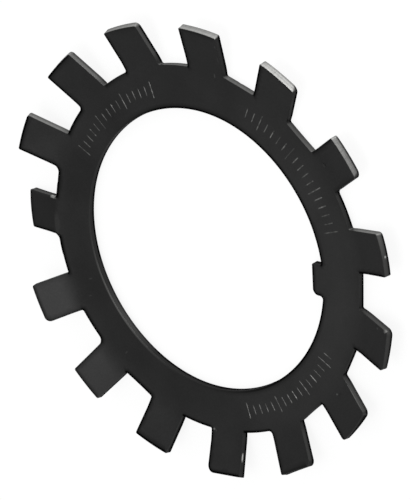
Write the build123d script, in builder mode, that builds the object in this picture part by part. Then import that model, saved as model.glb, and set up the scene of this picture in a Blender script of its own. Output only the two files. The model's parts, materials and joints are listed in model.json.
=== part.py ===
from build123d import *
import os
from math import hypot, radians, sin

os.makedirs("parts", exist_ok=True)

# A lock plate for a slotted hub nut, punched and formed from one piece of sheet steel.
# Z is the axis of the bore, with Z = 0 on the back face, which seats on the bearing.
# The front face, towards which the tabs are bent, looks along +Z. The tang is on +X.
# Lengths are in millimetres and angles in degrees.

sheet = 1.9  # gauge of the steel
bore_diameter = 80.0
web_diameter = 103.6  # circle that carries the roots of the tabs

tab_count = 15
tab_width = 11.2
tab_span = 128.4  # across the back edges of the raised tabs
tab_angle = 20.0  # rise of a raised tab from the plane of the bore
tab_corner = 1.3
tab_root_fillet = 1.1

dish_angle = 12.0  # slope that the web has reached where the tabs begin
dish_radius = 25.0  # inside radius of that gentle rise
fold_radius = 8.0  # inside radius between the web and a raised tab

# One tab has been used: it was folded into the nut once and beaten back past flat.
used_tab = 8  # the eighth from the tang, anticlockwise seen from the front
used_angle = -10.0
used_span = 126.2  # as tab_span, but for the used tab
used_fold_radius = 2.5

tang_width = 8.5
tang_height = 3.3  # how far it stands into the bore
tang_corner = 0.8
tang_root_fillet = 0.8

bore_radius = bore_diameter / 2
web_radius = web_diameter / 2
tab_pitch = 360 / tab_count
used_azimuth = (used_tab - 0.5) * tab_pitch
margin = 2 * sheet  # how far material runs past the die's outline before it is trimmed


def axis_distance(shape):
    """Distance of a vertex or of an edge's middle from the bore's axis."""
    return hypot(shape.center().X, shape.center().Y)


# The flat outline that the die cuts: web, bore, tabs and tang.
with BuildSketch() as blank:
    Circle(web_radius)
    with PolarLocations(0, tab_count, start_angle=tab_pitch / 2):
        Rectangle(tab_span / 2 + margin, tab_width, align=(Align.MIN, Align.CENTER))
    roots = blank.vertices().filter_by(lambda v: abs(axis_distance(v) - web_radius) < sheet / 10)
    fillet(roots, tab_root_fillet)
    Circle(bore_radius, mode=Mode.SUBTRACT)
    with Locations((bore_radius - tang_height, 0)):
        Rectangle(tang_height + sheet, tang_width, align=(Align.MIN, Align.CENTER))
    tang_roots = blank.vertices().filter_by(lambda v: abs(axis_distance(v) - bore_radius) < sheet / 10)
    fillet(tang_roots.filter_by(lambda v: v.X > 0), tang_root_fillet)
    tang_ends = blank.vertices().group_by(axis_distance)[0]
    fillet(tang_ends, tang_corner)

with BuildPart() as lock_plate:
    # Web: a flat seat round the bore that curves up into a shallow dish. Its back face is drawn,
    # which is on the outside of an upward bend, and the sheet lies on that line's left.
    with BuildSketch(Plane.XZ):
        with BuildLine():
            dish_start = web_radius - (dish_radius + sheet) * sin(radians(dish_angle))
            seat = Line((bore_radius - tang_height - margin, 0), (dish_start, 0))
            dish = JernArc(seat @ 1, seat % 1, dish_radius + sheet, dish_angle)
            offset(amount=sheet, side=Side.LEFT)
        make_face()
    revolve(axis=Axis.Z)

    # Tabs: the raised ones as one flange over all pitches but one, and the used one in that pitch.
    raised = (tab_angle, tab_span, fold_radius + sheet, used_azimuth + tab_pitch / 2, 360 - tab_pitch)
    used = (used_angle, used_span, used_fold_radius, used_azimuth - tab_pitch / 2, tab_pitch)
    for angle, span, back_radius, start_angle, arc in (raised, used):
        with BuildSketch(Plane.XZ.rotated((0, 0, start_angle))):
            with BuildLine():
                fold = JernArc(dish @ 1, dish % 1, back_radius, angle - dish_angle)
                tab_run = (span / 2 - (fold @ 1).X) / (fold % 1).X
                Line(fold @ 1, fold @ 1 + (fold % 1) * tab_run)
                offset(amount=sheet, side=Side.LEFT)
            make_face()
        revolve(axis=Axis.Z, revolution_arc=arc)

    # The die's outline trims the formed sheet to its tabs, bore and tang.
    extrude(blank.sketch, amount=tab_span, both=True, mode=Mode.INTERSECT)

    # Corners at the ends of the tabs.
    outside = lock_plate.edges().filter_by(lambda e: axis_distance(e) > (web_radius + tab_span / 2) / 2)
    corners = outside.filter_by(lambda e: e.length < 1.2 * sheet)
    fillet(corners, tab_corner)

lock_plate.part.label = "lock_plate"
export_step(lock_plate.part, "parts/lock_plate.step")
print("volume", round(lock_plate.part.volume, 1), "box", lock_plate.part.bounding_box())
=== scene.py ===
import json
import math

import bpy
import numpy as np
from mathutils import Matrix, Vector, noise
from mathutils.geometry import delaunay_2d_cdt


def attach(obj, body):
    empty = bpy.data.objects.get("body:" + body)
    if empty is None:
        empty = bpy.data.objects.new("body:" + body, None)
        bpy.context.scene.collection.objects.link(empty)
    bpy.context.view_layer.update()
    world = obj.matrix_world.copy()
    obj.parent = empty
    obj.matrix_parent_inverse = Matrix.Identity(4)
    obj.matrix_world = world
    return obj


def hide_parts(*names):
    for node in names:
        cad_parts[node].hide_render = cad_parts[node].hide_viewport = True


# A tab washer, punched and formed from black sheet steel. Lengths are in millimetres and angles in
# degrees unless a name says otherwise. The finished mesh is scaled to metres, in the frame's axes.
# Tabs are numbered anticlockwise from the tang, and a gap has the number of the tab before it.

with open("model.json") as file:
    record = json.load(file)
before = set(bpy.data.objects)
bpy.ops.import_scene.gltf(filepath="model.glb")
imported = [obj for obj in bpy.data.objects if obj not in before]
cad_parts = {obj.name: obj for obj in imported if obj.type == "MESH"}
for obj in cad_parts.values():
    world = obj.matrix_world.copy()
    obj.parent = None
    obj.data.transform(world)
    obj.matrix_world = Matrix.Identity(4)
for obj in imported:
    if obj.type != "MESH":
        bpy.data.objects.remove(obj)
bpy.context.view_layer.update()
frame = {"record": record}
mounts = {mount["name"]: mount for mount in frame["record"]["mounts"]}
millimetre = 0.001


# Sizes of the plate. Radii of bends, the root circle and the reach are on the middle of the sheet.

form = {
    "sheet": mounts["keyed_bore"]["dims"]["length_mm"],
    "boreRadius": mounts["keyed_bore"]["dims"]["r_mm"],
    "tangEnd": mounts["tang"]["pos_m"][0] / millimetre,  # from the axis
    "tangWidth": 8.5,
    "tangCorners": (0.5, 0.5, 1.7, 0.9),  # anticlockwise root and end, then clockwise end and root
    "rootRadius": 51.8,  # circle between the tabs
    "foldStart": 51.6,
    "dishRadius": 25.95,
    "dishAngle": 12.0,
    "foldRadius": 26.0,
    "tabCount": 15,
    "tabAngle": 20.8,
    "tabReach": 63.9,
    "tabWidth": 11.6,
    "twistRun": 4.0,  # a twisted tab turns over this length from its fold
    "usedTab": 8,  # folded into a nut once and beaten back
    "usedFoldRadius": 3.45,
    "usedAngle": -10.0,
    "usedReach": 63.4,
    "sharpFrom": 34.0,  # the mesh is shaded sharp where it bends by more
}
tabPitch = 360 / form["tabCount"]

# The press left no two tabs quite alike. A drift is an amount and the azimuth where it is most.
drift = {
    "turn": (0.43, 161.0),  # degrees that a tab stands anticlockwise of its place
    "reach": (0.35, 107.0),
    "width": (0.30, 60.0),
    "angle": (1.5, 62.0),  # comes twice round the plate
    "root": (0.05, 200.0),
    "rootOut": 0.10,  # how far all roots stand outward
    "bore": (-0.136, 19.0),
    "oval": (0.09, 53.0),  # of the bore, comes twice round
    "square": (0.107, 40.0),  # of the bore, comes four times round
    "boreIn": 0.105,  # how much smaller the whole bore is
    "tangLow": 0.33,  # the tang is wider by this on its clockwise side, and longer there by half of it
    # What single tabs have on top of that
    "ownTurn": {1: 0.1, 4: -0.05, 5: -0.15, 8: -0.85, 11: 0.05, 12: -0.05, 13: -0.05, 14: 0.3, 15: 0.25},
    "ownWidth": {1: -0.3, 2: -0.15, 3: -0.05, 4: 0.1, 5: 0.2, 8: -0.1, 10: -0.2, 11: 0.2,
                 13: -0.25, 14: 0.3, 15: -0.25},
    "ownReach": {1: 0.05, 2: 0.05, 3: -0.1, 4: -0.25, 5: -0.2, 6: -0.1, 9: -0.2, 10: 0.1,
                 11: -0.1, 12: 0.05, 13: -0.05},
    "ownAngle": {2: -1.5, 3: -2.0, 4: -1.7, 9: 1.5, 15: 1.0},
    "ownTwist": {2: 0.8, 5: -0.7, 8: -1.2, 12: 0.9},
    # The tip stands this far anticlockwise of the root, and is this much wider than it on each side.
    "ownSkew": {1: 0.12, 5: -0.12, 7: -0.08, 8: 0.26, 11: 0.05, 13: 0.13, 15: 0.16},
    "ownTaper": {4: 0.1, 7: 0.06, 8: 0.1, 9: 0.06, 10: -0.08, 11: 0.05, 12: 0.12, 13: 0.07,
                 14: -0.07},
    # How far the end of a tab leans outward at its anticlockwise corner, and bows in at both.
    "ownTipLean": {1: 0.1, 8: 0.13, 13: -0.05, 14: 0.1},
    "ownTipBow": {1: 0.1, 8: 0.08, 12: -0.125, 13: -0.2},
    # How much further the front edge reaches than the back one at the clockwise and the other corner.
    "ownLip": {1: (0.15, 0.0), 9: (0.0, 0.1), 10: (0.0, 0.05), 11: (0.0, 0.08), 12: (0.0, -0.15),
               13: (-0.05, 0.15), 14: (0.45, 0.0), 15: (0.5, 0.0)},
    # How far the root of a gap stands outward, leans outward anticlockwise, and rises at both ends.
    "ownRoot": {1: 0.05, 2: -0.1, 3: -0.2, 4: 0.1, 5: 0.1, 6: 0.13, 7: -0.2, 11: 0.1, 13: -0.05,
                14: 0.15},
    "ownRootLean": {2: -0.08, 3: 0.1, 5: -0.1, 9: -0.16, 10: 0.05, 13: -0.12, 14: 0.08, 15: 0.18},
    "ownRootFlat": {2: 0.2, 3: 0.13, 7: 0.1, 10: 0.16, 13: 0.2, 14: 0.12, 15: 0.14},
    # Where leans and bows are as much as they say, from the middle of a gap or of a tab's end, and
    # the multiple of it at which they stop growing.
    "rootHalf": 4.1,  # degrees
    "tipHalf": 4.5,
    "stop": 1.3,
    # How far past the root circle they end or start, and the length over which they do.
    "rootZone": (4.0, 3.0),
    "tipZone": (4.0, 4.0),
}

# Corner radii of each tab: clockwise root, clockwise tip, other tip, other root.
tabCorners = {
    1: (0.5, 0.5, 1.0, 0.5), 2: (1.0, 1.8, 0.7, 0.5), 3: (0.5, 1.7, 0.8, 0.5),
    4: (0.5, 0.6, 0.5, 0.5), 5: (0.5, 1.3, 0.5, 0.8), 6: (0.5, 1.0, 0.5, 1.2),
    7: (0.5, 0.7, 0.5, 1.8), 8: (0.5, 0.5, 0.5, 1.5), 9: (0.5, 0.6, 1.8, 0.6),
    10: (1.9, 0.5, 0.5, 0.6), 11: (0.5, 0.5, 0.6, 0.6), 12: (0.4, 2.2, 0.35, 0.5),
    13: (1.2, 0.5, 1.5, 0.5), 14: (0.5, 0.7, 1.5, 0.5), 15: (0.5, 0.7, 1.5, 0.5),
}
# The clockwise and the other tip corner on the front face, where they differ from those.
frontCorners = {
    1: (0.3, 0.35), 2: (0.6, 0.4), 3: (0.35, 0.35), 4: (0.3, 0.3), 5: (0.3, 0.35),
    6: (0.5, 0.5), 11: (0.5, 0.35), 14: (1.1, 0.6), 15: (1.1, 0.5),
}


# Small functions used throughout

def swing(drifting, azimuth, times=1):
    amount, peak = drifting
    return amount * np.cos(np.radians(times * (azimuth - peak)))


def ramp(value, length):
    # From 0 at nothing to 1 at the length.
    return np.clip(value / length, 0, 1)


def turned(point, degrees):
    c, s = math.cos(math.radians(degrees)), math.sin(math.radians(degrees))
    return np.array([point[0] * c - point[1] * s, point[0] * s + point[1] * c])


def polar(radius, azimuth):
    return turned((radius, 0), azimuth)


def unit(vector):
    return vector / np.linalg.norm(vector)


def radii(points):
    return np.linalg.norm(points, axis=1)


def unitRows(points):
    return points / radii(points)[:, None]


def azimuths(points):
    return np.degrees(np.arctan2(points[:, 1], points[:, 0])) % 360


def tabNumbers(points):
    return (azimuths(points) // tabPitch).astype(int) + 1


def gapNumbers(points):
    return (np.round(azimuths(points) / tabPitch) - 1) % form["tabCount"] + 1


def own(table, numbers, usual=0.0):
    # What a table gives for each number, or what is usual.
    return np.array([table.get(int(number), usual) for number in numbers])


# Tabs, each with its sizes

def makeTab(number):
    place = (number - 0.5) * tabPitch
    angle = form["tabAngle"] + swing(drift["angle"], place, 2) + drift["ownAngle"].get(number, 0.0)
    reach = form["tabReach"] + swing(drift["reach"], place) + drift["ownReach"].get(number, 0.0)
    width = form["tabWidth"] + swing(drift["width"], place) + drift["ownWidth"].get(number, 0.0)
    used = number == form["usedTab"]
    return {
        "azimuth": place + swing(drift["turn"], place) + drift["ownTurn"].get(number, 0.0),
        "half": width / 2,
        "reach": form["usedReach"] if used else reach,
        "angle": form["usedAngle"] if used else angle,
        "foldRadius": form["usedFoldRadius"] if used else form["foldRadius"],
        "twist": drift["ownTwist"].get(number, 0.0),
        "skew": drift["ownSkew"].get(number, 0.0),
        "taper": drift["ownTaper"].get(number, 0.0),
    }


tabs = [makeTab(number) for number in range(1, form["tabCount"] + 1)]


# Outline in plan. An edge is straight, or round about the bore's axis.

outline = {
    "step": 0.42,  # between points on an edge
    "cornerStep": 0.14,
    "fewest": 4,  # steps round a corner
    "glance": 0.01,  # way along an edge that gives its direction
    "room": 0.75,  # share of a corner's radius that the corner may be inset
}


def walk(start, end, edge, sense, distance):
    # The point this far from start on the edge to end. Sense is 1 anticlockwise, -1 clockwise.
    if edge == "straight":
        return start + unit(end - start) * distance
    return turned(start, sense * math.degrees(distance / np.linalg.norm(start)))


def edgeLength(start, end, edge, sense):
    if edge == "straight":
        return np.linalg.norm(end - start)
    sweep = sense * (math.atan2(end[1], end[0]) - math.atan2(start[1], start[0])) % (2 * math.pi)
    return sweep * np.linalg.norm(start)


def cornerArc(corner, before, after, sense, radius, count=None):
    # Points round one corner, from the edge that arrives to the edge that leaves. A corner is its
    # place, its radius on the back face, the edge that leaves it, and its radius on the front face.
    point, leaving = corner[0], corner[2]
    arriving = before[2]
    backward = unit(walk(point, before[0], arriving, -sense, outline["glance"]) - point)
    forward = unit(walk(point, after[0], leaving, sense, outline["glance"]) - point)
    halfAngle = math.acos(float(np.clip(backward @ forward, -1, 1))) / 2
    centre = point + unit(backward + forward) * radius / math.sin(halfAngle)
    reach = radius / math.tan(halfAngle)
    first = walk(point, before[0], arriving, -sense, reach) - centre
    last = walk(point, after[0], leaving, sense, reach) - centre
    start = math.degrees(math.atan2(first[1], first[0]))
    sweep = (math.degrees(math.atan2(last[1], last[0])) - start + 180) % 360 - 180
    steps = round(math.radians(abs(sweep)) * radius / outline["cornerStep"])
    count = count or max(outline["fewest"], steps)
    return [centre + polar(radius, start + sweep * i / count) for i in range(count + 1)]


def closedOutline(corners, sense, front=False):
    # The outline on the back face, or on the front one with as many points and its own corners.
    # The room at each point is how far it may be inset before a corner would fold over itself.
    backArcs, arcs, radiusAt = [], [], 3 if front else 1
    for i, corner in enumerate(corners):
        beside = (corners[i - 1], corners[(i + 1) % len(corners)], sense)
        backArcs.append(cornerArc(corner, *beside, corner[1]))
        arcs.append(cornerArc(corner, *beside, corner[radiusAt], len(backArcs[-1]) - 1))
    points, room = [], []
    for i, arc in enumerate(arcs):
        j = (i + 1) % len(arcs)
        edge = corners[i][2]
        count = max(1, round(edgeLength(backArcs[i][-1], backArcs[j][0], edge, sense) / outline["step"]))
        length = edgeLength(arc[-1], arcs[j][0], edge, sense)
        steps = [length * k / count for k in range(1, count)]
        points += arc + [walk(arc[-1], arcs[j][0], edge, sense, step) for step in steps]
        room += [outline["room"] * corners[i][radiusAt]] * len(arc) + [form["sheet"]] * (count - 1)
    return np.array(points), np.array(room)


def rimCorners():
    corners = []
    for number, tab in enumerate(tabs, 1):
        clockwise, other = tab["skew"] - tab["taper"], tab["skew"] + tab["taper"]
        places = ((form["rootRadius"], -tab["half"] - clockwise, "straight"),
                  (tab["reach"], -tab["half"] + clockwise, "round"),
                  (tab["reach"], tab["half"] + other, "straight"),
                  (form["rootRadius"], tab["half"] - other, "round"))
        back = tabCorners[number]
        front = (back[0], *frontCorners.get(number, back[1:3]), back[3])
        for (radius, y, leaving), backRadius, frontRadius in zip(places, back, front):
            x = math.sqrt(radius ** 2 - y ** 2)
            corners.append((turned((x, y), tab["azimuth"]), backRadius, leaving, frontRadius))
    return corners


def boreCorners():
    half = form["tangWidth"] / 2
    low = half + drift["tangLow"]
    root, lowRoot = (math.sqrt(form["boreRadius"] ** 2 - side ** 2) for side in (half, low))
    end, lowEnd = form["tangEnd"], form["tangEnd"] - drift["tangLow"] / 2
    places = ((root, half, "straight"), (end, half, "straight"),
              (lowEnd, -low, "straight"), (lowRoot, -low, "round"))
    return [(np.array([x, y]), radius, leaving, radius)
            for (x, y, leaving), radius in zip(places, form["tangCorners"])]


def drifted(loop, step):
    # An outline moved outward by a step at each of its points.
    return loop * (1 + step / radii(loop))[:, None]


def rootStep(loop):
    azimuth, gap = azimuths(loop), gapNumbers(loop)
    past, fade = drift["rootZone"]
    along = ((azimuth - gap * tabPitch + 180) % 360 - 180) / drift["rootHalf"]
    along = np.clip(along, -drift["stop"], drift["stop"])
    shaped = own(drift["ownRoot"], gap) + own(drift["ownRootLean"], gap) * along
    shaped += own(drift["ownRootFlat"], gap) * along ** 2
    nearRoot = ramp(form["rootRadius"] + past - radii(loop), fade)
    return nearRoot * (drift["rootOut"] + swing(drift["root"], azimuth) + shaped)


def tipStep(loop, front=False):
    number = tabNumbers(loop)
    past, fade = drift["tipZone"]
    place = np.array([tabs[i - 1]["azimuth"] for i in number])
    along = radii(loop) * np.radians(azimuths(loop) - place) / drift["tipHalf"]
    along = np.clip(along, -drift["stop"], drift["stop"])
    shaped = own(drift["ownTipLean"], number) * along - own(drift["ownTipBow"], number) * along ** 2
    clockwise, other = own(drift["ownLip"], number, (0.0, 0.0)).T * front
    shaped += clockwise * np.clip(1 - along, 0, 2) / 2 + other * np.clip(1 + along, 0, 2) / 2
    return ramp(radii(loop) - form["rootRadius"] - past, fade) * shaped


def boreStep(loop):
    azimuth = azimuths(loop)
    wavy = swing(drift["oval"], azimuth, 2) + swing(drift["square"], azimuth, 4)
    return swing(drift["bore"], azimuth) - wavy - drift["boreIn"]


rim, _ = closedOutline(rimCorners(), 1)
rimFront, rimRoom = closedOutline(rimCorners(), 1, True)
rim = drifted(rim, rootStep(rim) + tipStep(rim))
rimFront = drifted(rimFront, rootStep(rimFront) + tipStep(rimFront, True))
bore, boreRoom = closedOutline(boreCorners(), -1)
bore = drifted(bore, boreStep(bore))
print("outline:", len(rim), "points round the rim,", len(bore), "round the bore")


# Bending: places on the flat plan are put on the formed sheet

def formed(plan, depth):
    # Points that lie a depth below the front face, for places given on the middle of the sheet.
    radius, number = radii(plan), tabNumbers(plan)
    dish = math.radians(form["dishAngle"])
    dishStart = form["foldStart"] - form["dishRadius"] * math.sin(dish)
    slope = np.arcsin(np.clip((radius - dishStart) / form["dishRadius"], 0, math.sin(dish)))
    height = form["dishRadius"] * (1 - np.cos(slope))
    past = radius - form["foldStart"]
    for i, tab in enumerate(tabs, 1):
        mine = (number == i) & (past > 0)
        angle = math.radians(tab["angle"])
        sense = 1 if angle > dish else -1
        limit = sense * (math.sin(angle) - math.sin(dish))
        turn = np.minimum(past[mine] / tab["foldRadius"], limit)
        slope[mine] = np.arcsin(math.sin(dish) + sense * turn)
        rise = sense * tab["foldRadius"] * (math.cos(dish) - np.cos(slope[mine]))
        rise += (past[mine] - turn * tab["foldRadius"]) * np.tan(slope[mine])
        across = plan[mine] @ polar(1, tab["azimuth"] + 90)
        rise += across * math.tan(math.radians(tab["twist"])) * ramp(past[mine], form["twistRun"]) ** 2
        height[mine] += rise
    above = form["sheet"] / 2 - depth
    level = plan - unitRows(plan) * (above * np.sin(slope))[:, None]
    return np.column_stack([level, form["sheet"] / 2 + height + above * np.cos(slope)])


# Cut edges: rings of points from the rolled front edge, down the cut, to the sharp back edge.
# Each ring is its inset from the outline, its depth, how ragged it is, and how much painted edge shade it
# takes.

cutRings = (
    (0.45, 0.0, 0.0, 1.0), (0.33, 0.0, 0.0, 1.0), (0.22, 0.0, 0.0, 1.0), (0.10, 0.0, 0.0, 1.0),
    (0.05, 0.012, 0.0, 1.0), (0.015, 0.045, 0.0, 1.0), (0.0, 0.10, 0.0, 1.0), (0.0, 0.20, 0.0, 0.5),
    (0.0, 0.32, 0.003, 0.05), (0.0, 0.78, 0.006, 0.0), (0.012, 0.84, 0.015, 0.0),
    (0.015, 1.05, 0.03, 0.05), (0.01, 1.22, 0.03, 0.5), (0.0, 1.36, 0.02, 1.0), (0.0, 1.58, 0.01, 1.0),
    (0.0, form["sheet"], 0.01, 1.0), (0.22, form["sheet"], 0.0, 1.0),
)
wallRings = (6, 14)  # first and last ring that bound the cut itself

tear = {
    "length": 5.0,  # the line where the shear ends and the tear begins wanders along this length,
    "height": 0.12,  # by so much,
    "depths": (0.6, 1.5),  # on the rings between these depths
    "ragged": (1.3, 0.7),  # waves of the raggedness in a millimetre along the cut and down it
}
# The web was cut plumb between the tabs, and a tab's end square to its own face. The plumb cut ends
# this far past the root circle, fades over this length and starts this far inside the fold.
plumb = {"past": 1.7, "fade": 1.2, "inside": 2.0}


def outwardNormals(loop):
    tangent = np.roll(loop, -1, axis=0) - np.roll(loop, 1, axis=0)
    return unitRows(np.column_stack([tangent[:, 1], -tangent[:, 0]]))


def runLengths(loop):
    steps = radii(np.roll(loop, -1, axis=0) - loop)
    return np.concatenate([[0.0], np.cumsum(steps)[:-1]])


def lean(plan):
    radius = radii(plan)
    share = ramp(form["rootRadius"] + plumb["past"] - radius, plumb["fade"])
    share = share * (radius > form["foldStart"] - plumb["inside"])
    return math.sin(math.radians(form["dishAngle"])) * share


def cutRing(front, back, room, ring, seed):
    # The places in plan and the depths of one ring of a cut edge, and how far it has run.
    inset, depth, ragged = ring[:3]
    loop = front + (back - front) * depth / form["sheet"]
    run = runLengths(back)
    along, down = tear["ragged"]
    torn = [noise.noise(Vector((distance * along, depth * down, seed))) for distance in run]
    plan = loop - outwardNormals(loop) * (np.minimum(inset, room) + ragged * np.array(torn))[:, None]
    plan += unitRows(plan) * (lean(plan) * (form["sheet"] / 2 - depth))[:, None]
    first, last = tear["depths"]
    height = tear["height"] if first < depth < last else 0.0
    wander = [noise.noise(Vector((distance / tear["length"], 0.0, seed + 9))) for distance in run]
    return plan, depth + height * np.array(wander), run


# Faces: fine staggered points fill the sheet between the cut edges

fill = {
    "spacing": 0.8,
    "backSpacing": 1.3,
    "rimRow": 0.72,  # inset of the one row that follows the outline
    "slack": 0.05,  # by which it may come nearer to another edge
    "clear": 0.6,  # share of the spacing that stays free beyond it
    "rowShare": 0.87,  # of the spacing, between rows
    "together": 1e-5,  # points nearer than this are taken as one
    "atOnce": 1500,  # points compared at a time
}


def inside(points, loop):
    found = np.zeros(len(points), bool)
    start, end = loop, np.roll(loop, -1, axis=0)
    for first in range(0, len(points), fill["atOnce"]):
        some = slice(first, first + fill["atOnce"])
        x, y = points[some, 0:1], points[some, 1:2]
        spans = (start[:, 1] > y) != (end[:, 1] > y)
        rise = np.where(end[:, 1] == start[:, 1], 1.0, end[:, 1] - start[:, 1])
        crossing = start[:, 0] + (y - start[:, 1]) * (end[:, 0] - start[:, 0]) / rise
        found[some] = (spans & (x < crossing)).sum(axis=1) % 2 == 1
    return found


def nearest(points, others):
    # The distance of each point from the others, and which of them is nearest.
    distance, which = np.empty(len(points)), np.empty(len(points), int)
    for first in range(0, len(points), fill["atOnce"]):
        some = slice(first, first + fill["atOnce"])
        gap = ((points[some, None, :] - others[None, :, :]) ** 2).sum(axis=2)
        which[some] = gap.argmin(axis=1)
        distance[some] = np.sqrt(gap.min(axis=1))
    return distance, which


def fillPoints(spacing, rimRing, boreRing):
    near = []
    for loop in (rim, bore):
        row = (loop - outwardNormals(loop) * fill["rimRow"])[::2]
        near += list(row[nearest(row, loop)[0] > fill["rimRow"] - fill["slack"]])
    points = []
    reach = max(tab["reach"] for tab in tabs)
    for row, radius in enumerate(np.arange(form["tangEnd"], reach, spacing * fill["rowShare"])):
        count = round(2 * math.pi * radius / spacing)
        points += [polar(radius, 360 * (i + row % 2 / 2) / count) for i in range(count)]
    points = np.array(points)
    points = points[inside(points, rimRing) & ~inside(points, boreRing)]
    distance, _ = nearest(points, np.vstack([rim, bore]))
    return np.vstack([near, points[distance > fill["rimRow"] + spacing * fill["clear"]]])


def faceTriangles(loops, points):
    # Triangles over the sheet between two closed loops, by the numbers of all these points.
    places = np.vstack([*loops, points])
    edges, base = [], 0
    for loop in loops:
        edges += [(base + i, base + (i + 1) % len(loop)) for i in range(len(loop))]
        base += len(loop)
    made = delaunay_2d_cdt([Vector(p) for p in places], edges, [], 0, fill["together"])
    source = [found[0] for found in made[3]]
    triangles = np.array([[source[corner] for corner in face] for face in made[2]])
    middles = places[triangles].mean(axis=1)
    kept = triangles[inside(middles, loops[0]) & ~inside(middles, loops[1])]
    a, b, c = places[kept[:, 0]], places[kept[:, 1]], places[kept[:, 2]]
    facing = (b[:, 0] - a[:, 0]) * (c[:, 1] - a[:, 1]) - (b[:, 1] - a[:, 1]) * (c[:, 0] - a[:, 0])
    kept[facing < 0] = kept[facing < 0][:, ::-1]
    return kept


# Stamped marks: three rows of plain radial strokes, every fifth one long, like a worn scale

marks = {
    "rows": ((18, 68), (108, 153), (286, 333)),  # azimuths where each row begins and ends
    "radius": 45.6,
    "pitch": 2.3,
    "shortLength": 2.6,
    "longLength": 4.6,
    "longEvery": 5,
    "halfWidth": 0.18,
    "depth": 0.12,
    "runOut": (0.2, 0.4),  # how far past its length a stroke ends, and over what it gets shallower
    "clear": (0.75, 0.6),  # even points stay so far from its middle and ends
    "offsets": (-0.36, -0.2, -0.1, 0.0, 0.1, 0.2, 0.36),  # of the finer points across a stroke
    "rowStep": 0.4,
    "brightened": (0.15, 1.0),  # each stroke is painted bright, as bare steel and as the glint its walls catch, by a share between these,
    "brightenedWave": 0.37,  # with so many waves in a degree
    "brightenedRun": (0.45, 1.6, 1.1),  # the mean share along a stroke, its swing, waves in a millimetre
    "brightenedPast": 0.1,
}


def strokes():
    step = math.degrees(marks["pitch"] / marks["radius"])
    for first, last in marks["rows"]:
        for i in range(int((last - first) / step) + 1):
            length = marks["shortLength"] if i % marks["longEvery"] else marks["longLength"]
            yield first + i * step, length


def placesAt(points, azimuth, radius, side=0.0):
    # How far points lie outward and anticlockwise of a place near an azimuth.
    return points @ polar(1, azimuth) - radius, points @ polar(1, azimuth + 90) - side


def refined(points, patches):
    # Finer points in rows and columns take the place of the even ones.
    kept, added = np.ones(len(points), bool), []
    for azimuth, place, clear, rows, columns in patches:
        up, across = placesAt(points, azimuth, *place)
        kept &= ~((abs(up) < clear[0]) & (abs(across) < clear[1]))
        added += [turned((place[0] + x, place[1] + y), azimuth) for x in rows for y in columns]
    return np.vstack([points[kept], np.array(added)])


def strokePatches():
    beside, beyond = marks["clear"]
    for azimuth, length in strokes():
        end = length / 2 + marks["runOut"][0]
        rows = np.linspace(-end, end, round(length / marks["rowStep"]) + 2)
        yield azimuth, (marks["radius"], 0.0), (length / 2 + beyond, beside), rows, marks["offsets"]


def strokeBrightening(points):
    # How bright each stroke is painted, as bare steel and as a painted highlight for the glint of its
    # walls.
    wearAndHighlight = np.zeros(len(points))
    least, most = marks["brightened"]
    mean, swings, wave = marks["brightenedRun"]
    for azimuth, length in strokes():
        up, across = placesAt(points, azimuth, marks["radius"])
        chance = noise.noise(Vector((azimuth * marks["brightenedWave"], 5.0, 0.0)))
        touched = (abs(across) < marks["halfWidth"]) & (abs(up) < length / 2 + marks["brightenedPast"])
        along = [mean + swings * noise.noise(Vector((azimuth, row * wave, 2.0))) for row in up[touched]]
        wearAndHighlight[touched] = least + (most - least) * np.clip(0.5 + chance, 0, 1) * np.clip(along, 0, 1)
    return wearAndHighlight


def strokeDepth(points):
    depth = np.zeros(len(points))
    past, fade = marks["runOut"]
    for azimuth, length in strokes():
        up, across = placesAt(points, azimuth, marks["radius"])
        side = np.clip(1 - abs(across) / marks["halfWidth"], 0, 1)
        end = ramp(length / 2 + past - abs(up), fade)
        depth = np.maximum(depth, marks["depth"] * np.sqrt(side * end))
    return depth


# Nicks, scuffs and painted highlights: a tab, the place along and across it, the size along and across,
# the depths in the sheet that it covers, how deep it is pressed in, and how bright it is painted, as bare
# steel and as a highlight.

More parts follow.
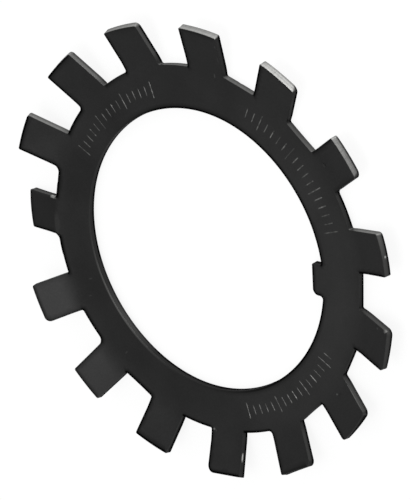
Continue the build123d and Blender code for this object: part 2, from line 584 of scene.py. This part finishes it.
nicks = (
    (8, (52.9, -5.9), (2.2, 1.3), (0.0, 0.8), 0.10, 1.2),  # corner struck at the root of the used tab, its facet painted bright as bare steel and highlight
    (8, (52.2, 2.2), (1.7, 8.6), (0.0, 0.0), 0.0, 0.045),  # and a painted highlight along its fold
    # a painted highlight on the edge, reflecting the overhead lamp, over a small nick
    (12, (58.4, 5.7), (2.4, 1.0), (0.3, 0.8), 0.03, 1.0),
    (12, (52.1, -4.6), (0.7, 0.8), (0.0, 0.0), 0.03, 0.5),
    (12, (52.5, -3.7), (0.8, 0.7), (0.0, 0.0), 0.16, 0.0),
    (1, (64.0, -0.6), (1.0, 0.8), (0.8, 1.25), 0.05, 1.4),
    # a painted highlight line along the front edge, reflecting the overhead lamp
    (14, (58.4, 5.9), (8.0, 0.8), (0.02, 0.2), 0.02, 0.26),
    (14, (53.8, 0.7), (0.55, 0.55), (0.0, 0.0), 0.0, 0.35),
    (14, (54.3, 1.4), (0.7, 0.7), (0.0, 0.0), 0.18, 0.0),
    (4, (51.5, -3.0), (1.6, 0.5), (0.0, 0.0), 0.03, 0.12),
    (4, (57.0, -5.3), (2.4, 0.7), (0.0, 0.0), 0.08, 0.03),
    (4, (61.0, -5.4), (1.0, 0.8), (0.0, 0.0), 0.03, 0.06),
    (4, (50.9, -10.2), (0.8, 1.2), (0.3, 1.9), 0.10, 0.0),
    (2, (53.9, 1.4), (1.3, 1.3), (0.0, 0.0), 0.10, 0.04),
    (15, (59.7, 4.7), (0.7, 0.7), (0.0, 0.0), 0.05, 0.10),
    # a painted highlight on the corner
    (15, (62.3, 5.7), (1.8, 1.2), (0.0, 0.5), 0.04, 0.60),
    (9, (44.8, -2.1), (1.8, 0.5), (0.0, 0.0), 0.05, 0.08),
    (9, (47.5, 2.5), (1.5, 0.5), (0.0, 0.0), 0.05, 0.06),
    (10, (47.4, 1.8), (1.5, 0.6), (0.0, 0.0), 0.05, 0.06),
)
nickForm = {
    "steepness": 2.2,  # from a nick's border inward
    "slack": 0.01,  # by which a point may miss its depths
    "step": 0.18,  # between its finer points
    "spread": 1.1,  # they cover so many times its size
    "clear": 0.35,  # even points stay so far from it
}


def nickShare(points, depths, nick):
    # How much of one nick each point has, by its place in plan and its depth.
    number, place, size, levels = nick[:4]
    up, across = placesAt(points, tabs[number - 1]["azimuth"], *place)
    distance = np.hypot(up / size[0], across / size[1])
    share = np.clip(nickForm["steepness"] * (1 - 2 * distance), 0, 1)
    return share * (depths >= levels[0] - nickForm["slack"]) * (depths <= levels[1] + nickForm["slack"])


def nickSums(points, depths):
    # How far nicks press each point in, how bright they paint it, as bare steel and as a highlight, and
    # how much of its painted edge shade they take.
    pressed, brightSteel, taken = np.zeros(len(points)), np.zeros(len(points)), np.zeros(len(points))
    for nick in nicks:
        share = nickShare(points, depths, nick)
        pressed += nick[4] * share
        brightSteel = np.maximum(brightSteel, nick[5] * share)
        taken = np.maximum(taken, share * (nick[5] > 0))
    return pressed, brightSteel, taken


def nickPatches():
    # Nicks of the face alone.
    spread, step = nickForm["spread"], nickForm["step"]
    for number, place, size, levels, _, _ in nicks:
        if levels[1] == 0:
            clear = [side / 2 + nickForm["clear"] for side in size]
            grid = [np.linspace(-spread / 2, spread / 2, round(spread * side / step) + 1) * side
                    for side in size]
            yield tabs[number - 1]["azimuth"], place, clear, *grid


# Wear and painted light: the ends of the tabs are painted bright steel, partly as rubbed wear and partly
# as a painted highlight on the walls that face the low lamp, and the roots and the bore keep their black.
# A painted shade line runs along the back edges. How much a wall faces an azimuth counts to a power: the
# greater it is, the narrower the bright part.

wearAndPaintedLight = {
    "facing": 80.0,  # azimuth of the painted highlight, which the brightest walls face
    "power": (4, 2),  # at the roots, and by how much less on the tabs
    "tip": 1.0,
    "side": 0.6,
    "root": 0.36,
    "least": 0.02,
    "leastTip": (0.11, 30.0, 2),  # the least painted highlight at the end of a tab that faces this azimuth, and a power
    "leastFrom": 0.9,  # share of the way to the reach from which it counts
    "tabZone": (1.0, 3),  # ends are brightest this far inside the reach, and sides so many times sooner
    "isEnd": (0.6, 0.3),  # ends of tabs face outward by more than this, and wholly by so much more
    # tabs on the low lamp's side, painted brighter than the rest
    "lightSideTabs": (1, 2, 3, 4, 5, 6, 7),
    "otherTabs": 0.27,
    "bore": (0.11, 42.0, 36),  # a painted highlight on the bore where it faces this azimuth, and a power
    "boreLine": (0.34, 215.0, 14, 0.03),  # painted highlight line on its front edge: most here, a power, the depth
    "boreLightLine": (0.035, (1.0, 1.25), (178.0, 244.0), 8),  # second painted highlight line down the bore: share, depths, azimuths, fading over
    "shadeLiftFacing": 85.0,  # the painted shade line on the back edge is lighter on walls that face this azimuth,
    "tipFacing": 97.0,  # and on ends of tabs that face this one,
    "shadeLiftShare": 0.75,  # up to this share of it
    "shadeLiftZone": (0.4, 0.45),  # from where they face it by so much, and most by so much more,
    "shadeLiftWear": 0.18,  # and where their wear and painted highlight reach so much
    "tipBlack": (1.25, 1.5),  # at the ends of tabs it deepens between these depths
    "boreLost": ((195.0, 240.0), 0.50),  # this part of the bore has this share less of it
    "ragged": (0.3, 0.8),  # share that comes and goes along it, and its waves in a millimetre
    "usedTab": 0.22,  # the used tab's face is darker by so much
    "web": (0.028, 355.0),  # the web is given a faint painted sheen, most at this azimuth,
    "webZone": (3.0, 5.0),  # up to so far past the root circle, and fades over this length
}


def facingShare(normals, azimuth, power):
    return np.clip(normals @ polar(1, azimuth), 0, 1) ** power


def nearShare(points, azimuth, power=1):
    return np.clip(swing((1, azimuth), azimuths(points)), 0, 1) ** power


def outwardness(loop, normals):
    return (unitRows(loop) * normals).sum(axis=1)


def inBore(loop):
    return radii(loop) < form["boreRadius"] + 1


def atTips(loop):
    outer = radii(loop) > form["rootRadius"] + 4
    return (outwardness(loop, outwardNormals(loop)) > 0.7) & outer


def wearAndHighlightShare(loop, normals):
    # How bright a cut is painted: rubbed wear, and a painted highlight where it faces the low lamp.
    inset, sooner = wearAndPaintedLight["tabZone"]
    outer = ramp(radii(loop) - form["rootRadius"], form["tabReach"] - form["rootRadius"] - inset)
    onTab = np.clip(sooner * outer, 0, 1)
    atEnd = ramp(outwardness(loop, normals) - wearAndPaintedLight["isEnd"][0], wearAndPaintedLight["isEnd"][1])
    amount = wearAndPaintedLight["root"] + (wearAndPaintedLight["side"] + (wearAndPaintedLight["tip"] - wearAndPaintedLight["side"]) * atEnd - wearAndPaintedLight["root"]) * onTab
    brightened = np.isin(tabNumbers(loop), wearAndPaintedLight["lightSideTabs"])
    amount = amount * np.where(brightened | (outer <= 0), 1.0, wearAndPaintedLight["otherTabs"])
    power, less = wearAndPaintedLight["power"]
    facing = facingShare(normals, wearAndPaintedLight["facing"], power - less * onTab)
    most, azimuth, power = wearAndPaintedLight["leastTip"]
    toward = facingShare(normals, azimuth, power)
    least = wearAndPaintedLight["least"] + (most - wearAndPaintedLight["least"]) * (outer > wearAndPaintedLight["leastFrom"]) * toward * atEnd
    share, azimuth, power = wearAndPaintedLight["bore"]
    bored = np.maximum(share * facingShare(normals, azimuth, power), wearAndPaintedLight["least"])
    return np.where(inBore(loop), bored, np.maximum(amount * facing, least))


roll = {
    "side": 211.0,  # painted shade: edges that face this side, away from the camera, are painted darkest
    "spread": (2, 0.5),  # how steeply that changes round the plate, and the share square to that side
    "least": 0.04,
    "endEdgeShade": (85.0, 4, 0.35),  # ends of tabs that face this take painted edge shade too, to a power, by a share
    "boreEdgeShade": (128.0, 6, 0.9),  # and so does the bore's front edge
    "endZone": 1.5,  # how far inside the reach ends begin
    "tabEdgeShade": {9: 0.55, 10: 0.55},  # share of the painted edge shade that single tabs have
    "gaps": {11: 0.85, 12: 0.6, 13: 0.7},  # share of its width that single gaps have
    "reach": 0.95,  # how far from the edge the painted shade is seen
    "fade": 0.50,
    # Cuts that face within so many degrees of an azimuth are painted black as shade, more and more toward
    # the back.
    "sheerDepths": (0.3, 1.05),
    "sheerRim": ((118.0, 30.0), (314.0, 44.0)),
    "sheerBore": ((110.0, 30.0), (297.0, 20.0)),
    "sheerFade": 14,  # degrees, and ends of tabs have so many less
    "sheerWorn": 0.15,  # wear and painted highlight that leave none,
    "noSheer": (45.0, 200.0),  # as on the clockwise sides of tabs between these azimuths
}


def edgeShadeShare(loop):
    # How much painted edge shade each part of an outline has.
    normals, radius = outwardNormals(loop), radii(loop)
    steepness, middle = roll["spread"]
    edgeShaded = np.clip(normals @ polar(1, roll["side"]) * steepness + middle, roll["least"], 1)
    atEnd = radius > form["tabReach"] - roll["endZone"]
    for isHere, (azimuth, power, share) in ((atEnd, roll["endEdgeShade"]), (inBore(loop), roll["boreEdgeShade"])):
        edgeShaded = np.maximum(edgeShaded, share * isHere * facingShare(normals, azimuth, power))
    tabEdgeShade = own(roll["tabEdgeShade"], tabNumbers(loop), 1.0)
    return edgeShaded * np.where(radius > form["rootRadius"] + 1, tabEdgeShade, 1.0)


def backEdgeShadeShare(loop, wearAndHighlight):
    # How much painted shade lies along the edge of the back face.
    normals, azimuth = outwardNormals(loop), azimuths(loop)
    end, side = (normals @ polar(1, wearAndPaintedLight[name]) for name in ("tipFacing", "shadeLiftFacing"))
    start, rest = wearAndPaintedLight["shadeLiftZone"]
    lit = ramp(np.where(atTips(loop), end, side) - start, rest)
    black = 1 - wearAndPaintedLight["shadeLiftShare"] * lit * ramp(wearAndHighlight, wearAndPaintedLight["shadeLiftWear"])
    (first, last), lost = wearAndPaintedLight["boreLost"]
    black *= 1 - lost * (inBore(loop) & (azimuth > first) & (azimuth < last))
    share, wave = wearAndPaintedLight["ragged"]
    ragged = [noise.noise(Vector((distance * wave, 3.0, 0.0))) for distance in runLengths(loop)]
    return black * (1 - share * np.clip(ragged, 0, 1))


def boreLine(loop, depth):
    # How bright the painted highlight line along the bore's front edge is at one depth.
    most, azimuth, power, deepest = wearAndPaintedLight["boreLine"]
    return most * inBore(loop) * nearShare(loop, azimuth, power) * (depth < deepest)


def boreLightLine(loop, depth):
    # How bright a second painted highlight line down the bore is at one depth.
    brightSteel, (top, bottom), (first, last), fade = wearAndPaintedLight["boreLightLine"]
    ends = ramp(np.minimum(azimuths(loop) - first, last - azimuths(loop)), fade)
    return brightSteel * inBore(loop) * ends * (top <= depth <= bottom)


def sheerShare(loop, wearAndHighlight):
    # How much painted shade blackens the whole cut.
    facing, azimuth, bored = azimuths(outwardNormals(loop)), azimuths(loop), inBore(loop)
    share = np.zeros(len(loop))
    for isHere, windows in ((~bored, roll["sheerRim"]), (bored, roll["sheerBore"])):
        for middle, reach in windows:
            off = abs((facing - middle + 180) % 360 - 180) + roll["sheerFade"] * atTips(loop)
            share = np.maximum(share, isHere * ramp(reach - off, roll["sheerFade"]))
    first, last = roll["noSheer"]
    rubbedOff = ~bored & (facing > 180) & (azimuth > first) & (azimuth < last)
    return share * ~rubbedOff * np.clip(1 - wearAndHighlight / roll["sheerWorn"], 0, 1)


def edgeShade(points):
    # How much painted shade lies along the face's edges, and how much darker the used tab's face is.
    loops = np.vstack([rim, bore])
    distance, which = nearest(points, loops)
    atRoot = abs(radii(loops) - form["rootRadius"]) < 1
    narrow = np.where(atRoot, own(roll["gaps"], gapNumbers(loops), 1.0), 1.0)
    share = ramp(roll["reach"] * narrow[which] - distance, roll["fade"])
    share *= np.concatenate([edgeShadeShare(rim), edgeShadeShare(bore)])[which]
    used = tabNumbers(points) == form["usedTab"]
    return np.maximum(share, wearAndPaintedLight["usedTab"] * used * ramp(radii(points) - form["foldStart"], 1))


def paintedWebSheen(points):
    # A faint painted sheen on the web near the root circle, most toward one azimuth.
    most, azimuth = wearAndPaintedLight["web"]
    past, fade = wearAndPaintedLight["webZone"]
    return most * ramp(form["rootRadius"] + past - radii(points), fade) * nearShare(points, azimuth)


# The mesh: the cut edges ring by ring, then the front and the back face. A part is points in plan,
# their depths, their places along and down the cut, their painted edge shade, and their wear and
# painted highlight.

def edgeParts(loop, rings):
    normals = outwardNormals(loop)
    brightened, edgeShaded = wearAndHighlightShare(loop, normals), edgeShadeShare(loop)
    black, sheer = backEdgeShadeShare(loop, brightened), sheerShare(loop, brightened)
    first, last = wearAndPaintedLight["tipBlack"]
    sheerFirst, sheerLast = roll["sheerDepths"]
    for number, (plan, depths, run) in enumerate(rings):
        _, depth, _, dark = cutRings[number]
        pressed, brightSteel, taken = nickSums(loop, np.full(len(loop), depth))
        late = np.where(atTips(loop), ramp(depth - first, last - first), 1.0)
        # Painted shade: along the front edge, as a line along the back edge, and down the cut where
        # sheerShare says.
        edge = dark * (edgeShaded if depth < form["sheet"] / 2 else black * late)
        if wallRings[0] <= number <= wallRings[1]:
            edge = np.maximum(edge, sheer * ramp(depth - sheerFirst, sheerLast - sheerFirst))
        onWall = wallRings[0] <= number <= wallRings[1] + 1
        # Bright steel: wear and painted highlights on the cut, a painted sheen on the web.
        wearAndHighlight = brightened + boreLightLine(loop, depth) if onWall else paintedWebSheen(loop)
        yield (plan - normals * (pressed * onWall)[:, None],
               depths + pressed * (number < wallRings[0]),
               np.column_stack([run, depths]),
               edge * (1 - taken),
               np.maximum(wearAndHighlight, np.maximum(brightSteel, boreLine(loop, depth))))


def facePart(points, front):
    level = np.full(len(points), 0.0 if front else form["sheet"])
    pressed, brightSteel, taken = nickSums(points, level)
    depth = strokeDepth(points) + pressed if front else level
    wearAndHighlight = np.maximum(paintedWebSheen(points), brightSteel)
    return (points, depth, np.column_stack([np.zeros(len(points)), depth]),
            edgeShade(points) * (1 - taken), np.maximum(strokeBrightening(points), wearAndHighlight) if front else wearAndHighlight)


def addObject(name, data):
    made = bpy.data.objects.new(name, data)
    bpy.context.scene.collection.objects.link(made)
    return made


def buildPlate():
    edges = []
    for loops, seed in (((rimFront, rim, rimRoom), 3.0), ((bore, bore, boreRoom), 7.0)):
        edges.append([cutRing(*loops, ring, seed) for ring in cutRings])
    parts, faces, zones, bases, total = [], [], [], [], 0
    for loop, rings in zip((rim, bore), edges):
        parts += edgeParts(loop, rings)
        bases.append(total)
        for ring in range(len(cutRings) - 1):
            a, b = total + ring * len(loop), total + (ring + 1) * len(loop)
            for i in range(len(loop)):
                j = (i + 1) % len(loop)
                faces.append((a + i, b + i, b + j, a + j))
            zones += [int(wallRings[0] <= ring <= wallRings[1])] * len(loop)
        total += len(cutRings) * len(loop)
    for ring, spacing, order in ((0, fill["spacing"], (0, 1, 2)), (-1, fill["backSpacing"], (2, 1, 0))):
        front = ring == 0
        loops = [rings[ring][0] for rings in edges]
        points = fillPoints(spacing, *loops)
        if front:
            points = refined(refined(points, strokePatches()), nickPatches())
        triangles = faceTriangles(loops, points)
        starts = [base + ring % len(cutRings) * len(loop) for base, loop in zip(bases, loops)]
        ids = [start + np.arange(len(loop)) for start, loop in zip(starts, loops)]
        ids = np.concatenate([*ids, total + np.arange(len(points))])
        faces += [tuple(triangle) for triangle in ids[triangles][:, order].tolist()]
        zones += [0] * len(triangles)
        parts.append(facePart(points, front))
        total += len(points)
    plan, depth, place, shade, wearAndHighlight = (np.concatenate(values) for values in zip(*parts))
    mesh = bpy.data.meshes.new("plateMesh")
    mesh.from_pydata((formed(plan, depth) * millimetre).tolist(), [], faces)
    mesh.polygons.foreach_set("material_index", zones)
    mesh.polygons.foreach_set("use_smooth", np.ones(len(faces), bool))
    # Attributes: painted edge shade, and bright steel for wear and painted highlights.
    for name, values in (("edgeShade", shade), ("wearAndHighlight", wearAndHighlight)):
        attribute = mesh.attributes.new(name, "FLOAT", "POINT")
        attribute.data.foreach_set("value", values.astype(np.float32))
    wallPlace = np.column_stack([place, np.zeros(len(place))]).astype(np.float32)
    mesh.attributes.new("wallPlace", "FLOAT_VECTOR", "POINT").data.foreach_set("vector", wallPlace.ravel())
    mesh.set_sharp_from_angle(angle=math.radians(form["sharpFrom"]))
    mesh.validate()
    return addObject("tab_washer_plate", mesh)


plate = buildPlate()
print("plate:", len(plate.data.vertices), "points,", len(plate.data.polygons), "faces")


# Materials

def linear(hexColour):
    # An sRGB hex colour as linear red, green, blue and alpha.
    channels = [int(hexColour[i:i + 2], 16) / 255 for i in (1, 3, 5)]
    return [c / 12.92 if c <= 0.04045 else ((c + 0.055) / 1.055) ** 2.4 for c in channels] + [1.0]


def addNode(tree, kind, inputs=None, **settings):
    # Outputs of other nodes are linked to its inputs, hex colours and other values are set on them.
    node = tree.nodes.new("ShaderNode" + kind)
    for name, value in settings.items():
        setattr(node, name, value)
    for name, value in (inputs or {}).items():
        if isinstance(value, bpy.types.NodeSocket):
            tree.links.new(value, node.inputs[name])
        else:
            node.inputs[name].default_value = linear(value) if isinstance(value, str) else value
    return node.outputs


def addRange(tree, value, before, after=(0.0, 1.0), kind="LINEAR"):
    # A value between the two before comes to lie between the two after, and no further.
    inputs = zip(("Value", "From Min", "From Max", "To Min", "To Max"), (value, *before, *after))
    return addNode(tree, "MapRange", dict(inputs), interpolation_type=kind)[0]


def addMath(tree, operation, *inputs):
    return addNode(tree, "Math", dict(enumerate(inputs)), operation=operation)[0]


def addNoise(tree, place, scale, detail, roughness=0.5):
    inputs = {"Vector": place, "Scale": scale, "Detail": detail, "Roughness": roughness}
    return addNode(tree, "TexNoise", inputs)["Fac"]


def addColour(tree, share, first, second):
    return addNode(tree, "Mix", {0: share, 6: first, 7: second}, data_type="RGBA")[2]


def addAttribute(tree, name, output="Fac"):
    return addNode(tree, "Attribute", attribute_name=name)[output]


def addSteel(tree, colour, edge, rough, height, bump, tint):
    # Metal, apart from the painted dark edge shade, which mirrors nothing.
    normal = addNode(tree, "Bump", {"Strength": bump[0], "Distance": bump[1] * millimetre,
                                    "Height": height})[0]
    surface = addNode(tree, "BsdfPrincipled", {
        "Base Color": colour, "Metallic": addMath(tree, "SUBTRACT", 1.0, edge), "Roughness": rough,
        "Specular Tint": tint, "Specular IOR Level": 0.0, "Normal": normal})[0]
    addNode(tree, "OutputMaterial", {"Surface": surface})


def emptied(owner):
    owner.use_nodes = True
    owner.node_tree.nodes.clear()
    return owner.node_tree


def newMaterial(name):
    material = bpy.data.materials.new(name)
    return material, emptied(material)


blackOxide = {
    "dark": "#393939",
    "light": "#414141",
    "edgeTint": "#c4c4c4",
    # near black for the painted edge shade
    "rim": "#060606",
    # bright steel for wear and painted highlights
    "steel": "#b4b4b2",
    "cloud": 16.0,  # size of the faint patches in the blackening
    "grain": 0.5,  # size of the fine grain, as coarse as it shows
    "grainShare": 0.35,  # of the grain in the patches
    "contrast": (0.35, 0.65),  # part of the noise that goes from least to most
    "roughness": (0.32, 0.40),
    "bump": (0.5, 0.004),
}


def makeBlackOxide():
    # Black oxide on rolled sheet, oiled: a dark metallic satin that mirrors its surroundings faintly.
    material, tree = newMaterial("blackOxideSteel")
    b = blackOxide
    coords = addNode(tree, "TexCoord")["Object"]
    cloud = addNoise(tree, coords, 1 / (b["cloud"] * millimetre), 4.0, 0.6)
    grain = addNoise(tree, coords, 1 / (b["grain"] * millimetre), 2.0)
    patches = addNode(tree, "Mix", {0: b["grainShare"], 2: cloud, 3: grain}, data_type="FLOAT")[0]
    colour = addColour(tree, addRange(tree, patches, b["contrast"]), b["dark"], b["light"])
    # Bright steel for wear and painted highlights, then near black for the painted edge shade.
    colour = addColour(tree, addAttribute(tree, "wearAndHighlight"), colour, b["steel"])
    edge = addAttribute(tree, "edgeShade")
    colour = addColour(tree, edge, colour, b["rim"])
    rough = addRange(tree, cloud, b["contrast"], b["roughness"])
    addSteel(tree, colour, edge, rough, grain, b["bump"], b["edgeTint"])
    return material


shearedEdge = {
    "oxide": "#2a2a2a",
    # bright steel for wear and painted highlights
    "steel": "#b4b4b2",
    "edgeTint": "#c4c4c4",
    # near black for the painted edge shade
    "rim": "#060606",
    "streak": 0.45,  # width of the streaks that the die leaves down the cut
    "streakDown": 0.5,  # their waves in a millimetre down it
    "tear": (0.72, 0.92),  # the torn band starts between these depths,
    "tornBright": 0.8,  # and is this bright beside the burnished one
    "contrast": (0.3, 0.7),
    "uneven": (0.8, 1.15),
    "roughness": (0.38, 0.62),
    "bump": (0.6, 0.02),
}


def makeShearedEdge():
    # Edge sheared in the die: a burnished band, then a torn one, blackened, with bright steel for wear and
    # painted highlights, and painted shade along its edges.
    material, tree = newMaterial("shearedSteelEdge")
    s = shearedEdge
    place = addAttribute(tree, "wallPlace", "Vector")
    scale = (1 / s["streak"], s["streakDown"], 1.0)
    streak = addNoise(tree, addNode(tree, "Mapping", {"Vector": place, "Scale": scale})[0], 1.0, 3.0, 0.6)
    depth = addNode(tree, "SeparateXYZ", {"Vector": place})["Y"]
    uneven = addRange(tree, streak, s["contrast"], s["uneven"])
    torn = addRange(tree, depth, s["tear"], (1.0, s["tornBright"]))
    # Bright steel for wear and painted highlights, then near black for the painted edge shade.
    share = addMath(tree, "MULTIPLY", addMath(tree, "MULTIPLY", addAttribute(tree, "wearAndHighlight"), uneven), torn)
    edge = addAttribute(tree, "edgeShade")
    colour = addColour(tree, edge, addColour(tree, share, s["oxide"], s["steel"]), s["rim"])
    rough = addRange(tree, streak, s["contrast"], s["roughness"])
    addSteel(tree, colour, edge, rough, streak, s["bump"], s["edgeTint"])
    return material


plate.data.materials.append(makeBlackOxide())
plate.data.materials.append(makeShearedEdge())
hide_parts("lock_plate")
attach(plate, "root")
print("materials: black oxide face, sheared edge")


# Floor, light and camera

stage = {
    "floorSize": 3000.0,
    "restsAt": 46.2,  # X of the seat's far side, which touches the floor; so does the used tab's end
    "floorGrey": 0.8,
    "skyGrey": 0.56,
    "horizonGrey": 0.73,
    "skyFrom": 0.8,  # height from which the sky is darkest
    "seenWhite": 0.87,  # the floor as a camera or a mirror sees it glows this much,
    "seenGrey": 0.24,  # and this much of it is lit, which keeps the shadow
}


def seenWhite(tree):
    # 1 for the rays by which a camera, a mirror or glass sees a background
    path = addNode(tree, "LightPath")
    seen = addMath(tree, "MAXIMUM", path["Is Camera Ray"], path["Is Glossy Ray"])
    return addMath(tree, "MAXIMUM", seen, path["Is Transmission Ray"])


def addFloor():
    half, restsAt = stage["floorSize"] / 2, stage["restsAt"] * millimetre
    slope = max(v.co.z / (v.co.x - restsAt) for v in plate.data.vertices if v.co.x < 0)
    square = ((-half, -half), (half, -half), (half, half), (-half, half))
    corners = [(x, y, (x - stage["restsAt"]) * slope) for x, y in square]
    mesh = bpy.data.meshes.new("floorMesh")
    mesh.from_pydata((np.array(corners) * millimetre).tolist(), [], [(0, 1, 2, 3)])
    floor = addObject("floor", mesh)
    material, tree = newMaterial("whitePaper")
    seen = seenWhite(tree)
    grey = addRange(tree, seen, (0.0, 1.0), (stage["floorGrey"], stage["seenGrey"]))
    lit = addNode(tree, "BsdfDiffuse", {"Color": grey})[0]
    white = addNode(tree, "Emission", {"Strength": addMath(tree, "MULTIPLY", seen, stage["seenWhite"])})[0]
    addNode(tree, "OutputMaterial", {"Surface": addNode(tree, "AddShader", {0: lit, 1: white})[0]})
    mesh.materials.append(material)


def setWorld():
    world = bpy.data.worlds.new("studio")
    bpy.context.scene.world = world
    tree = emptied(world)
    height = addNode(tree, "SeparateXYZ", {"Vector": addNode(tree, "TexCoord")["Generated"]})["Z"]
    low = addRange(tree, height, (0.0, stage["skyFrom"]), (stage["horizonGrey"], stage["skyGrey"]),
                   "SMOOTHSTEP")
    isCamera = addNode(tree, "LightPath")["Is Camera Ray"]
    level = addNode(tree, "Mix", {0: isCamera, 2: low, 3: 1.0}, data_type="FLOAT")[0]
    addNode(tree, "OutputWorld", {"Surface": addNode(tree, "Background", {"Strength": level})[0]})


lamps = {
    # place, size and radiance of each soft box; all of them face the plate
    "overhead": {"place": (20, -65, 600), "size": (360, 430), "radiance": 1.02},
    "lowKey": {"place": (78, 158, 35), "size": (60, 40), "radiance": 12.4},
}


def addLamp(name, place, size, radiance):
    data = bpy.data.lights.new(name, "AREA")
    data.shape, data.size, data.size_y = "RECTANGLE", size[0] * millimetre, size[1] * millimetre
    data.energy = radiance * math.pi * data.size * data.size_y
    lamp = addObject(name, data)
    lamp.location = Vector(place) * millimetre
    lamp.rotation_euler = (-Vector(place)).to_track_quat("-Z", "Y").to_euler()
    lamp.visible_camera = False


camera = {
    "azimuth": 31.479,
    "elevation": 45.301,
    "roll": -117.213,
    "aim": (-0.59, -0.287, 0.0),
    "distance": 672.67,
    "lens": 180.48,
    "clip": (0.02, 20.0),  # metres
}


def addCamera():
    azimuth, elevation, roll = (math.radians(camera[key]) for key in ("azimuth", "elevation", "roll"))
    level = math.cos(elevation)
    back = Vector((level * math.cos(azimuth), level * math.sin(azimuth), math.sin(elevation)))
    levelRight = Vector((0, 0, 1)).cross(back).normalized()
    levelUp = back.cross(levelRight)
    right = levelRight * math.cos(roll) + levelUp * math.sin(roll)
    up = levelUp * math.cos(roll) - levelRight * math.sin(roll)
    data = bpy.data.cameras.new("photoCamera")
    data.lens = camera["lens"]
    data.clip_start, data.clip_end = camera["clip"]
    viewer = addObject("photoCamera", data)
    turn = Matrix((right, up, back)).transposed().to_4x4()
    place = (Vector(camera["aim"]) + back * camera["distance"]) * millimetre
    viewer.matrix_world = Matrix.Translation(place) @ turn
    bpy.context.scene.camera = viewer


addFloor()
setWorld()
for name, lamp in lamps.items():
    addLamp(name, **lamp)
addCamera()
bpy.context.scene.view_settings.view_transform = "Standard"
print("stage: floor, world, lamps and camera")
